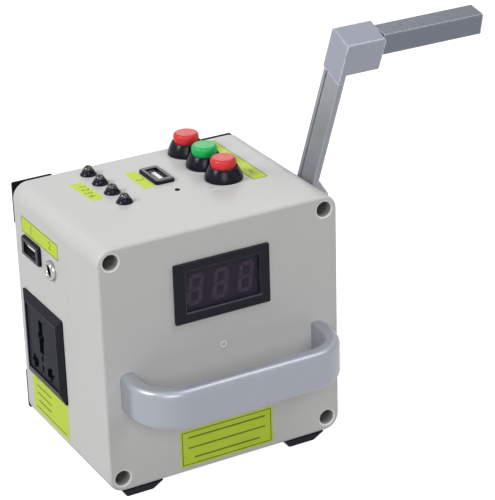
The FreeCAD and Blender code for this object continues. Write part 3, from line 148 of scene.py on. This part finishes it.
def recess_shade_and_rim_highlight(mat):
    """Painted shade deep inside the four screw recesses, darker with depth, and a painted highlight on
    their rims.
    """
    tree = mat.node_tree
    shader = tree.nodes["Principled BSDF"]
    shade = shader.inputs["Base Color"].links[0].from_socket
    place = shader_node(tree, "TexCoord", {}).outputs["Object"]
    parts = shader_node(tree, "SeparateXYZ", {"Vector": place}).outputs
    squares = []
    for axis, middle in (("X", case_x), ("Z", case_z)):
        off_middle = reckon(tree, "ABSOLUTE", reckon(tree, "SUBTRACT", parts[axis], middle))
        squares.append(reckon(tree, "POWER", reckon(tree, "SUBTRACT", off_middle, screw_step), 2.0))
    from_screw = reckon(tree, "ADD", squares[0], squares[1])
    inside = reckon(tree, "LESS_THAN", from_screw, recess_r ** 2)
    depth = between(tree, parts["Y"], front_face + recess_shade_starts, front_face + recess_shade_full)
    # Painted shade: the recess walls turn dark with depth.
    painted_recess_shade = mixed(tree, reckon(tree, "MULTIPLY", inside, depth), shade, (0.15, 0.145, 0.13, 1))
    rim = between(tree, from_screw, rim_r ** 2, recess_r ** 2)
    outer = reckon(tree, "LESS_THAN", parts["Y"], front_face + rim_ends)
    # Painted highlight: a light ring at the mouth of each recess.
    bright = mixed(tree, reckon(tree, "MULTIPLY", rim, outer), painted_recess_shade, (0.84, 0.84, 0.82, 1))
    tree.links.new(bright, shader.inputs["Base Color"])


recess_shade_and_rim_highlight(case_grey)


def lathe(points, turns, steps=48, axis=(0, 0, 1)):
    """A turned profile of radius and height, spun about the axis at each place in turns."""
    shape = bmesh.new()
    along = Vector(axis)
    across = along.orthogonal().normalized()
    for place in turns:
        ring = [shape.verts.new(Vector(place) + across * r + along * h) for r, h in points]
        edges = [shape.edges.new(pair) for pair in zip(ring, ring[1:])]
        bmesh.ops.spin(shape, geom=ring + edges, cent=place, axis=axis, angle=math.tau, steps=steps,
                       use_merge=True)
    bmesh.ops.remove_doubles(shape, verts=shape.verts, dist=1e-6)
    bmesh.ops.recalc_face_normals(shape, faces=shape.faces)
    return shape


def piece(name, shape, mats, body, instead=()):
    """The shape becomes a smooth object that rides on a body and stands for CAD pieces."""
    mesh = bpy.data.meshes.new(name)
    shape.to_mesh(mesh)
    shape.free()
    obj = bpy.data.objects.new(name, mesh)
    bpy.context.scene.collection.objects.link(obj)
    for mat in mats:
        mesh.materials.append(mat)
    for face in mesh.polygons:
        face.use_smooth = True
    mesh.set_sharp_from_angle(angle=math.radians(38))
    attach(obj, body)
    if instead:
        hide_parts(*instead)
    return obj


gate_mark = moulded_plastic("gate_mark", (0.80, 0.80, 0.76), 0.40, 2600.0, 0.00001)
gate = [(0.0009, 0.00002), (0.0011, 0.00014), (0.0014, 0.00020), (0.0017, 0.00014), (0.0019, 0.00002)]
piece("gate_ring", lathe(gate, [(case_x, front_face, case_z)], 32, (0, -1, 0)), [gate_mark], "case")


# Eight black rubber feet of one kind hold the case clear of the table, four below and four on the back.
# They are moulded with a tapered body and a recess for the screw. The joint's foam cord is as dark.
rubber = moulded_plastic("foot_rubber", (0.006, 0.0055, 0.010), 0.62, 1800.0, 0.0001, 0.25, 110.0, 0.06)
dress(["bottom_feet", "rear_feet", "cover_gasket"], rubber)


# Zinc plated screws, nuts, spacers and plates are the bought hardware inside the case and on the crank.
# The plating is a satin grey with a slightly cloudy gloss.
def worked_metal(name, colour, rough, grain, height, stretch=(1.0, 1.0, 1.0), metal=1.0, edge_highlight=None):
    """Bare or plated metal whose marks run long along the axes that are stretched little."""
    mat, tree, shader = new_material(name)
    shader.inputs["Metallic"].default_value = metal
    place = shader_node(tree, "TexCoord", {}).outputs["Object"]
    turned = shader_node(tree, "Mapping", {"Vector": place, "Scale": stretch}).outputs["Vector"]
    marks = noise(tree, turned, grain, 5.0)
    shade = mixed(tree, marks, lit_by(colour, 0.92), lit_by(colour, 1.06))
    # A painted highlight along the edges, where a highlight colour is given.
    if edge_highlight:
        shade = painted_edge_highlight(tree, shade, 0.0010, edge_highlight)
    tree.links.new(shade, shader.inputs["Base Color"])
    tree.links.new(between(tree, marks, 0.0, 1.0, rough - 0.07, rough + 0.09), shader.inputs["Roughness"])
    bump = shader_node(tree, "Bump", {"Strength": 0.4, "Distance": height, "Height": marks})
    tree.links.new(bump.outputs["Normal"], shader.inputs["Normal"])
    return mat


zinc = worked_metal("zinc_plate", (0.52, 0.52, 0.50), 0.36, 900.0, 0.00003)
dress(["cover_screws", "foot_screws", "handle_screws", "button_nuts", "crank_screw", "grip_pin",
       "grip_washer", "crank_spacer", "frame_plate_outer", "frame_plate_inner", "frame_posts",
       "generator_can"], zinc)


# The carry handle is a flat aluminium bar, bent to a U and tumbled until its long edges are round.
# It is held by two screws from inside the cover and is left with a satin finish.
satin_alu = worked_metal("satin_aluminium", (0.362, 0.380, 0.430), 0.34, 1500.0, 0.00002,
                         (0.15, 0.15, 1.0), 0.4)
dress(["carry_handle"], satin_alu)


# The crank is cut from grey anodised aluminium bar: a thin grooved arm, a hub block on the shaft and
# an elbow block with softly rounded edges. The square grip turns on a shoulder screw, and the ground
# steel shaft runs in a turned brass bush. Other steel pins and the springs are as bright.
arm_grey = worked_metal("arm_grey", (0.31, 0.33, 0.37), 0.40, 1200.0, 0.00003, (1.0, 1.0, 0.12), 0.35,
                        (0.60, 0.61, 0.62))
dress(["crank_arm", "crank_hub"], arm_grey)
elbow_grey = worked_metal("elbow_grey", (0.32, 0.34, 0.41), 0.34, 1400.0, 0.00003, (0.6, 1.0, 1.0), 0.35,
                          (0.85, 0.86, 0.90))
dress(["crank_elbow"], elbow_grey)
grip_grey = worked_metal("grip_grey", (0.155, 0.170, 0.210), 0.27, 1300.0, 0.00001, (0.4, 1.0, 1.0), 0.5,
                         (0.90, 0.92, 0.98))
dress(["crank_grip"], grip_grey)
steel = worked_metal("ground_steel", (0.50, 0.50, 0.50), 0.30, 1600.0, 0.00001)
dress(["crank_shaft", "idler_pins", "generator_rotor", "button_spring_front", "button_spring_middle",
       "button_spring_rear"], steel)
brass = worked_metal("turned_brass", (0.60, 0.42, 0.17), 0.32, 1500.0, 0.00001)
dress(["crank_bush", "socket_contacts"], brass)


# The panel meter is a bought module: a gloss black snap-in bezel with a moulded lip under its window, a
# dark acrylic pane, and three figures of seven bars each. The lip is coloured much lighter than the
# bezel, as a painted highlight along the lower edge of the window. The bars slant a little, don't glow
# when the meter is off, and only just show through the pane.
bezel_black = moulded_plastic("bezel_black", (0.0042, 0.0042, 0.0120), 0.22, 2400.0, 0.00001, 0.2, 90.0,
                              0.16, (0.11, 0.13, 0.16))
dress(["meter_bezel"], bezel_black)
display_dark = moulded_plastic("display_dark", (0.030, 0.020, 0.030), 0.5, 300.0, 0.000001, 0.1, 150.0)
dress(["meter_display"], display_dark)
pane, _, pane_shader = new_material("dark_pane")
pane_shader.inputs["Base Color"].default_value = (0.036, 0.025, 0.050, 1)
pane_shader.inputs["Roughness"].default_value = 0.12
pane_shader.inputs["Specular IOR Level"].default_value = 0.15
pane_shader.inputs["Alpha"].default_value = 0.55
dress(["meter_window"], pane)
board_green = moulded_plastic("board_green", (0.02, 0.16, 0.07), 0.4, 700.0, 0.00003, 0.15, 200.0)
dress(["meter_board", "main_board"], board_green)

bar_unlit = moulded_plastic("bar_unlit", (0.50, 0.38, 0.48), 0.45, 300.0, 0.000001, 0.1, 150.0)
figure_low, figure_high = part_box("meter_digits")
figure_y, bar_depth = (figure_low[1] + figure_high[1]) / 2, figure_high[1] - figure_low[1]
figure_z = (figure_low[2] + figure_high[2]) / 2
bar_wide, figure_tall, figure_wide, figure_pitch, figure_slant = 0.0019, 0.0146, 0.0074, 0.0127, 0.14
bar_gap, level_gap = 0.0006, 0.0004
half_tall, half_wide = (figure_tall - bar_wide) / 2, (figure_wide - bar_wide) / 2
upright_bar = (bar_wide, bar_depth, half_tall - bar_gap)
level_bar = (figure_wide - bar_wide - level_gap, bar_depth, bar_wide)
bars = bmesh.new()
for column in (-figure_pitch, 0.0, figure_pitch):
    places = [(0.0, level * half_tall, level_bar) for level in (-1, 0, 1)]
    for side in (-1, 1):
        places += [(side * half_wide, level * half_tall / 2, upright_bar) for level in (-1, 1)]
    slant = Matrix(((1, 0, figure_slant, case_x + column), (0, 1, 0, figure_y),
                    (0, 0, 1, figure_z), (0, 0, 0, 1)))
    for x, z, size in places:
        made = bmesh.ops.create_cube(bars, size=1.0)["verts"]
        bmesh.ops.scale(bars, verts=made, vec=size)
        bmesh.ops.translate(bars, verts=made, vec=(x, 0, z))
        bmesh.ops.transform(bars, verts=made, matrix=slant)
piece("meter_figures", bars, [bar_unlit], "case", ["meter_digits"])

# The lip's lighter colour is a painted highlight.
lip_highlight = moulded_plastic("lip_highlight", (0.055, 0.075, 0.095), 0.26, 2400.0, 0.00001, 0.2, 90.0, 0.3)
meter_low, meter_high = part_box("meter_bezel")
meter_z = (meter_low[2] + meter_high[2]) / 2
lip_size, lip_off_middle, lip_sunk, lip_drop = (0.0386, 0.0004, 0.0008), 0.0004, 0.00008, 0.0096
lip_bar = bmesh.new()
made = bmesh.ops.create_cube(lip_bar, size=1.0)["verts"]
bmesh.ops.scale(lip_bar, verts=made, vec=lip_size)
lip_at = (case_x + lip_off_middle, meter_low[1] + lip_sunk, meter_z - lip_drop)
bmesh.ops.translate(lip_bar, verts=made, vec=lip_at)
bmesh.ops.bevel(lip_bar, geom=list(lip_bar.edges), offset=0.00014, segments=2, profile=0.5, affect="EDGES",
                material=-1)
piece("meter_lip", lip_bar, [lip_highlight], "case")


# The mains socket takes several kinds of plug. Its bevelled frame and slotted face are moulded in a
# dark navy grey plastic that is a little glossier than the case.
socket_navy = moulded_plastic("socket_navy", (0.0045, 0.0045, 0.0105), 0.36, 2000.0, 0.00003, 0.12, 90.0,
                              0.06, (0.040, 0.038, 0.060))
dress(["socket_frame"], socket_navy)
face_navy = moulded_plastic("face_navy", (0.0065, 0.0085, 0.0180), 0.42, 2000.0, 0.00003, 0.12, 90.0, 0.04,
                            (0.06, 0.07, 0.09))
dress(["socket_face"], face_navy)


# The two charging sockets are black snap-in frames with folded nickel shells and white tongues. The
# round inlet beside the one on the left has a turned nickel bush with a rolled lip and a dark bore, a
# pin in its middle, and a nut inside the case.
snap_black = moulded_plastic("snap_black", (0.0042, 0.0042, 0.0120), 0.24, 2400.0, 0.00001, 0.2, 90.0, 0.13)
dress(["usb_frames"], snap_black)
# The shells take a darker copy of the nickel, as painted shade inside the openings.
shaded_nickel = worked_metal("shaded_nickel", (0.30, 0.30, 0.31), 0.22, 900.0, 0.00001)
dress(["usb_shells"], shaded_nickel)
tongue_white = moulded_plastic("tongue_white", (0.86, 0.86, 0.86), 0.4, 1500.0, 0.00002)
dress(["usb_tongues"], tongue_white)
nickel = worked_metal("bright_nickel", (0.40, 0.40, 0.395), 0.15, 900.0, 0.00001)
dress(["dc_jack_pin", "dc_jack_nut"], nickel)
jack_low, jack_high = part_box("dc_jack_barrel")
jack_y, jack_z = (jack_low[1] + jack_high[1]) / 2, (jack_low[2] + jack_high[2]) / 2
jack_bore, bore_shown = 0.00285, 0.0007
lip = [(0.0, -0.0107), (0.0028, -0.0107), (0.0028, 0.0008), (0.0029, 0.0013), (0.0031, 0.0018),
       (0.0034, 0.0021), (0.0037, 0.0022), (0.0040, 0.0021), (0.0044, 0.0017), (0.00465, 0.0011),
       (0.0048, 0.0006), (0.0048, 0.0), (0.0037, 0.0), (0.0037, -0.0108), (0.0, -0.0108)]
bush = lathe(lip, [(left_face, jack_y, jack_z)], 64, (-1, 0, 0))
for face in bush.faces:
    middle = face.calc_center_median()
    if math.hypot(middle.y - jack_y, middle.z - jack_z) < jack_bore and middle.x > left_face - bore_shown:
        face.material_index = 1
piece("dc_jack_bush", bush, [nickel, bezel_black], "case", ["dc_jack_barrel"])


# Inside the case stand nylon gears, a generator with copper windings, a circuit board with its parts
# and two cells in blue shrink film. None of it shows from outside.
nylon = moulded_plastic("gear_nylon", (0.80, 0.79, 0.73), 0.45, 1800.0, 0.00003)
dress(["crank_gear", "idler_a", "idler_b", "generator_pinion"], nylon)
copper = worked_metal("winding_copper", (0.62, 0.28, 0.14), 0.35, 2600.0, 0.00005, (0.05, 1.0, 1.0))
dress(["generator_coils"], copper)
component = moulded_plastic("dark_component", (0.03, 0.03, 0.035), 0.4, 1200.0, 0.00003)
dress(["board_parts"], component)
film_blue = moulded_plastic("shrink_film", (0.03, 0.10, 0.30), 0.25, 500.0, 0.00005)
dress(["battery_pack"], film_blue)


# Four lamps with smoked round noses stand in black snap-in holders along the top. Each holder is a
# small turned cone with a thin flange that clips into its hole. One more tiny lamp is set flush in the
# top near the joint, and looks like a dull dark dot.
dull_black = moulded_plastic("dull_black", (0.0042, 0.0042, 0.0080), 0.60, 2400.0, 0.00001, 0.2, 90.0, 0.03)
dress(["charge_lamp"], dull_black)
lamp_low, lamp_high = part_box("lamp_holders")
lamp_x = (lamp_low[0] + lamp_high[0]) / 2
flange_r = (lamp_high[0] - lamp_low[0]) / 2
lamp_pitch, nose_r, nose_middle = 0.0127, 0.00225, 0.0024
lamp_ys = [lamp_low[1] + flange_r + lamp_pitch * index for index in range(4)]
lamp_at = [(lamp_x, y, top_face) for y in lamp_ys]
holder = [(0.00225, -0.0070), (0.00295, -0.0070), (0.00295, 0.0), (flange_r - 0.0001, 0.0),
          (flange_r, 0.0001), (flange_r, 0.00035), (flange_r - 0.00015, 0.0005), (0.00355, 0.0008),
          (0.00318, 0.0012), (0.00298, 0.0017), (0.00285, 0.0021), (0.0027, 0.0023),
          (0.00235, 0.0023), (0.00225, -0.0070)]
piece("lamp_holder_set", lathe(holder, lamp_at), [snap_black], "case", ["lamp_holders"])
smoked = moulded_plastic("smoked_lens", (0.008, 0.007, 0.018), 0.11, 1200.0, 0.000002, 0.1, 200.0, 0.8)
nose = [(0.0, -0.006), (0.0022, -0.006), (0.0022, 0.0018), (nose_r, nose_middle)]
for degrees in range(10, 90, 10):
    angle = math.radians(degrees)
    nose.append((nose_r * math.cos(angle), nose_middle + nose_r * math.sin(angle)))
nose.append((0.0, nose_middle + nose_r))
lamp_shape = lathe(nose, lamp_at, 32)
leg_r, leg_long, leg_off_middle, leg_top = 0.00025, 0.0059, 0.00127, 0.006
for y in lamp_ys:
    for side in (-1, 1):
        leg = bmesh.ops.create_cone(lamp_shape, cap_ends=True, segments=12, radius1=leg_r, radius2=leg_r,
                                    depth=leg_long)["verts"]
        bmesh.ops.translate(lamp_shape, verts=leg,
                            vec=(lamp_x, y + side * leg_off_middle, top_face - leg_top - leg_long / 2))
piece("lamp_set", lamp_shape, [smoked], "case", ["lamps"])


# Three push buttons: a bell-shaped black collar clamped through the top, and a coloured cap that is
# pressed down into it. The caps are moulded with a soft upper edge and a slightly sunk top.
collar_low, collar_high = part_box("button_collars")
collar_x = (collar_low[0] + collar_high[0]) / 2
collar_r, collar_pitch = 0.0090, 0.0184
collar_ys = [collar_low[1] + collar_r + collar_pitch * index for index in range(3)]
collar_h = collar_high[2] - top_face
bell = [(0.00168, -0.0140), (0.00595, -0.0140), (0.00595, 0.0), (0.0089, 0.0), (collar_r, 0.0001),
        (collar_r, 0.0008), (0.00893, 0.0012), (0.00872, 0.0020), (0.00843, 0.0029), (0.00808, 0.0038),
        (0.00770, 0.0046), (0.00733, 0.0053), (0.00705, 0.0058), (0.00683, 0.0061), (0.00662, collar_h),
        (0.00640, 0.00625), (0.00625, 0.0060), (0.00625, 0.0030), (0.0050, 0.0030), (0.0050, -0.0120),
        (0.00168, -0.0120), (0.00168, -0.0140)]
collars = lathe(bell, [(collar_x, y, top_face) for y in collar_ys], 72)
piece("button_collar_set", collars, [bezel_black], "case", ["button_collars"])
cap_red = moulded_plastic("cap_red", (0.62, 0.030, 0.034), 0.40, 900.0, 0.00014, 0.24, 620.0, 0.35)
cap_green = moulded_plastic("cap_green", (0.006, 0.42, 0.095), 0.40, 900.0, 0.00014, 0.20, 620.0, 0.35)
cap = [(0.0, -0.0137), (0.0016, -0.0137), (0.0016, 0.0015), (0.0047, 0.0015), (0.0047, 0.00565),
       (0.0056, 0.00565), (0.0058, 0.0059), (0.0059, 0.0064), (0.00605, 0.0074), (0.0061, 0.0084),
       (0.00605, 0.0090), (0.0059, 0.00955), (0.00565, 0.0100), (0.0053, 0.01032), (0.0048, 0.0105),
       (0.0042, 0.01048), (0.0030, 0.0104), (0.0, 0.01038)]
cap_finishes = (("front", cap_red, "red_cap"), ("middle", cap_green, "green_cap"),
                ("rear", cap_red, "red_cap"))
for (name, mat, finish), y in zip(cap_finishes, collar_ys):
    piece("push_cap_" + name, lathe(cap, [(collar_x, y, top_face)], 72), [mat], "button_" + name,
          ["button_cap_" + name])


# Six stick-on labels of lemon yellow film. Three have a thin dark border, and the small ones carry
# plain numbers in dark olive ink. The two large ones are blank forms with ruled lines.
film = moulded_plastic("label_film", (0.55, 0.70, 0.055), 0.50, 900.0, 0.00001, 0.06, 160.0, 0.15)
ink = moulded_plastic("label_ink", (0.040, 0.060, 0.014), 0.5, 900.0, 0.00001, 0.1, 160.0, 0.15)
faded_ink = moulded_plastic("faded_ink", (0.16, 0.22, 0.025), 0.5, 900.0, 0.00001, 0.3, 400.0, 0.15)
film_thick, print_lift, edge_blank = 0.00012, 0.00004, 0.0002
border_wide, no_border, line_wide = 0.0005, 0.0004, 0.0008
ahead, leftward, upward = Vector((0, -1, 0)), Vector((-1, 0, 0)), Vector((0, 0, 1))
rightward = -leftward


def plate(shape, face_at, size, out, border, turn=0.0, blank=edge_blank):
    """A thin plate stuck on a face, with a printed line a little inside its edge where it has a border."""
    made = bmesh.ops.create_cube(shape, size=1.0)["verts"]
    bmesh.ops.scale(shape, verts=made, vec=size)
    bmesh.ops.rotate(shape, verts=made, matrix=Matrix.Rotation(turn, 3, "Z"))
    bmesh.ops.translate(shape, verts=made, vec=Vector(face_at) + out * (film_thick / 2))
    faces = {face for vert in made for face in vert.link_faces}
    front = [face for face in faces if face.normal.dot(out) > 0.9]
    bmesh.ops.inset_region(shape, faces=front, thickness=blank)
    ring = bmesh.ops.inset_region(shape, faces=front, thickness=border or no_border)["faces"]
    for face in ring:
        face.material_index = 1 if border else 0


def stroke(shape, face_at, right, out, length, width):
    """A printed line, a hair above its label."""
    made = bmesh.ops.create_grid(shape, x_segments=8, y_segments=1, size=0.5)["verts"]
    bmesh.ops.scale(shape, verts=made, vec=(length, width, 1))
    bmesh.ops.rotate(shape, verts=made, matrix=Matrix((right, out.cross(right), out)).transposed())
    bmesh.ops.translate(shape, verts=made, vec=Vector(face_at) + out * (film_thick + print_lift))
    for face in {face for vert in made for face in vert.link_faces}:
        face.material_index = 2


def number(shape, words, face_at, right, out, size):
    """A printed number, a hair above its label."""
    curve = bpy.data.curves.new("number", "FONT")
    curve.body = words
    curve.size = size
    curve.align_x = "CENTER"
    curve.align_y = "CENTER"
    written = bpy.data.objects.new("number", curve)
    flat = bpy.data.meshes.new_from_object(written)
    turned = Matrix((right, out.cross(right), out)).transposed().to_4x4()
    flat.transform(Matrix.Translation(Vector(face_at) + out * (film_thick + print_lift)) @ turned)
    before = len(shape.faces)
    shape.from_mesh(flat)
    shape.faces.ensure_lookup_table()
    for face in shape.faces[before:]:
        face.material_index = 2
    bpy.data.objects.remove(written)
    bpy.data.meshes.remove(flat)


labels = bmesh.new()
rating_z, rating_size = 0.01865, (0.048, film_thick, 0.0187)
plate(labels, (case_x, front_face, rating_z), rating_size, ahead, border_wide, blank=0.0012)
for z, length in ((0.0240, 0.040), (0.0187, 0.040), (0.0134, 0.034)):
    stroke(labels, (case_x, front_face, z), rightward, ahead, length, line_wide)
strip_z = 0.1102
plate(labels, (left_face, 0.02725, strip_z), (film_thick, 0.040, 0.0080), leftward, border_wide)
number(labels, "1", (left_face, 0.0365, strip_z), ahead, leftward, 0.0056)
number(labels, "2", (left_face, 0.0160, strip_z), ahead, leftward, 0.0056)
form_y = 0.02815
plate(labels, (left_face, form_y, 0.0230), (film_thick, 0.0396, 0.0186), leftward, 0.0)
for z, length in ((0.0280, 0.016), (0.0240, 0.016), (0.0200, 0.014)):
    stroke(labels, (left_face, 0.0350, z), ahead, leftward, length, line_wide)
stroke(labels, (left_face, form_y, 0.0158), ahead, leftward, 0.034, 0.0006)
lamps_at, lamps_turn = (case_x - 0.0348, 0.02855, top_face), math.radians(4)
plate(labels, lamps_at, (0.0062, 0.0222, film_thick), upward, 0.0, lamps_turn)
number(labels, "1 2 3 4", lamps_at, Vector((-0.0698, -0.9976, 0)), upward, 0.0052)
charging_at = (case_x - 0.0083, 0.02775, top_face)
plate(labels, charging_at, (0.0056, 0.0210, film_thick), upward, 0.0)
number(labels, "3", charging_at, ahead, upward, 0.0050)
buttons_x = case_x + 0.0397
plate(labels, (buttons_x, 0.02625, top_face), (0.0079, 0.0524, film_thick), upward, border_wide)
for word, y in zip("123", collar_ys):
    number(labels, word, (buttons_x, y, top_face), rightward, upward, 0.0060)
piece("label_set", labels, [film, ink, faded_ink], "case", ["labels"])


# The picture's camera has a long lens and stands at the front left, a good half metre up. It looks down
# on the case and is turned a little about its own line of sight.
camera_data = bpy.data.cameras.new("camera")
camera_data.sensor_width = 36.0
camera_data.lens = 152.785
camera = bpy.data.objects.new("camera", camera_data)
bpy.context.scene.collection.objects.link(camera)
stand = (-0.43192, -0.78661, 0.50137)
azimuth, lift, tilt = math.radians(-28.381), math.radians(24.597), math.radians(-1.701)
sight = Vector((-math.sin(azimuth) * math.cos(lift), math.cos(azimuth) * math.cos(lift), -math.sin(lift)))
level = sight.cross(Vector((0, 0, 1))).normalized()
rise = level.cross(sight)
side = math.cos(tilt) * level + math.sin(tilt) * rise
up = math.cos(tilt) * rise - math.sin(tilt) * level
camera.matrix_world = Matrix(((side.x, up.x, -sight.x, stand[0]), (side.y, up.y, -sight.y, stand[1]),
                              (side.z, up.z, -sight.z, stand[2]), (0, 0, 0, 1)))
bpy.context.scene.camera = camera


# The object stands on a white paper floor in a white surround. Both send little light back on it. A
# broad soft lamp is high on the left, one is at the front, one overhead on the right draws the edges of
# the metal, and a small one behind brings out the tops.
scene = bpy.context.scene
scene.view_settings.view_transform = "Standard"
ground = bmesh.new()
bmesh.ops.create_grid(ground, x_segments=1, y_segments=1, size=3.0)
ground_mesh = bpy.data.meshes.new("floor")
ground.to_mesh(ground_mesh)
ground.free()
floor = bpy.data.objects.new("floor", ground_mesh)
scene.collection.objects.link(floor)


def seen_directly(tree, low, high):
    """One strength for what the camera sees, straight or by gloss or glass, and one for the rest."""
    path = shader_node(tree, "LightPath", {}).outputs
    seen = path["Is Camera Ray"]
    for ray in ("Is Glossy Ray", "Is Transmission Ray"):
        seen = reckon(tree, "MAXIMUM", seen, path[ray])
    return between(tree, seen, 0.0, 1.0, low, high)


paper, tree, shader = new_material("floor_paper")
shader.inputs["Base Color"].default_value = (0.32, 0.32, 0.32, 1)
shader.inputs["Roughness"].default_value = 0.9
shader.inputs["Emission Color"].default_value = (1, 1, 1, 1)
tree.links.new(seen_directly(tree, 0.0, 0.92), shader.inputs["Emission Strength"])
ground_mesh.materials.append(paper)
world = bpy.data.worlds.new("surround")
scene.world = world
world.use_nodes = True
tree = world.node_tree
back = tree.nodes["Background"]
tree.links.new(seen_directly(tree, 0.18, 1.0), back.inputs["Strength"])
back.inputs["Color"].default_value = (1, 1, 1, 1)
aim = Vector((0, 0, 0.06))
for name, place, size, power in (("key_lamp", (-3.3, 0.15, 2.5), 1.5, 101.0),
                                 ("front_lamp", (-0.95, -2.15, 1.2), 1.4, 25.0),
                                 ("edge_lamp", (1.05, -0.75, 2.2), 1.4, 17.0),
                                 ("rear_lamp", (0.92, 1.69, 1.17), 0.6, 4.5)):
    lamp_data = bpy.data.lights.new(name, "AREA")
    lamp_data.shape = "DISK"
    lamp_data.size = size
    lamp_data.energy = power
    lamp = bpy.data.objects.new(name, lamp_data)
    scene.collection.objects.link(lamp)
    lamp.location = place
    lamp.rotation_euler = (aim - Vector(place)).to_track_quat("-Z", "Y").to_euler()
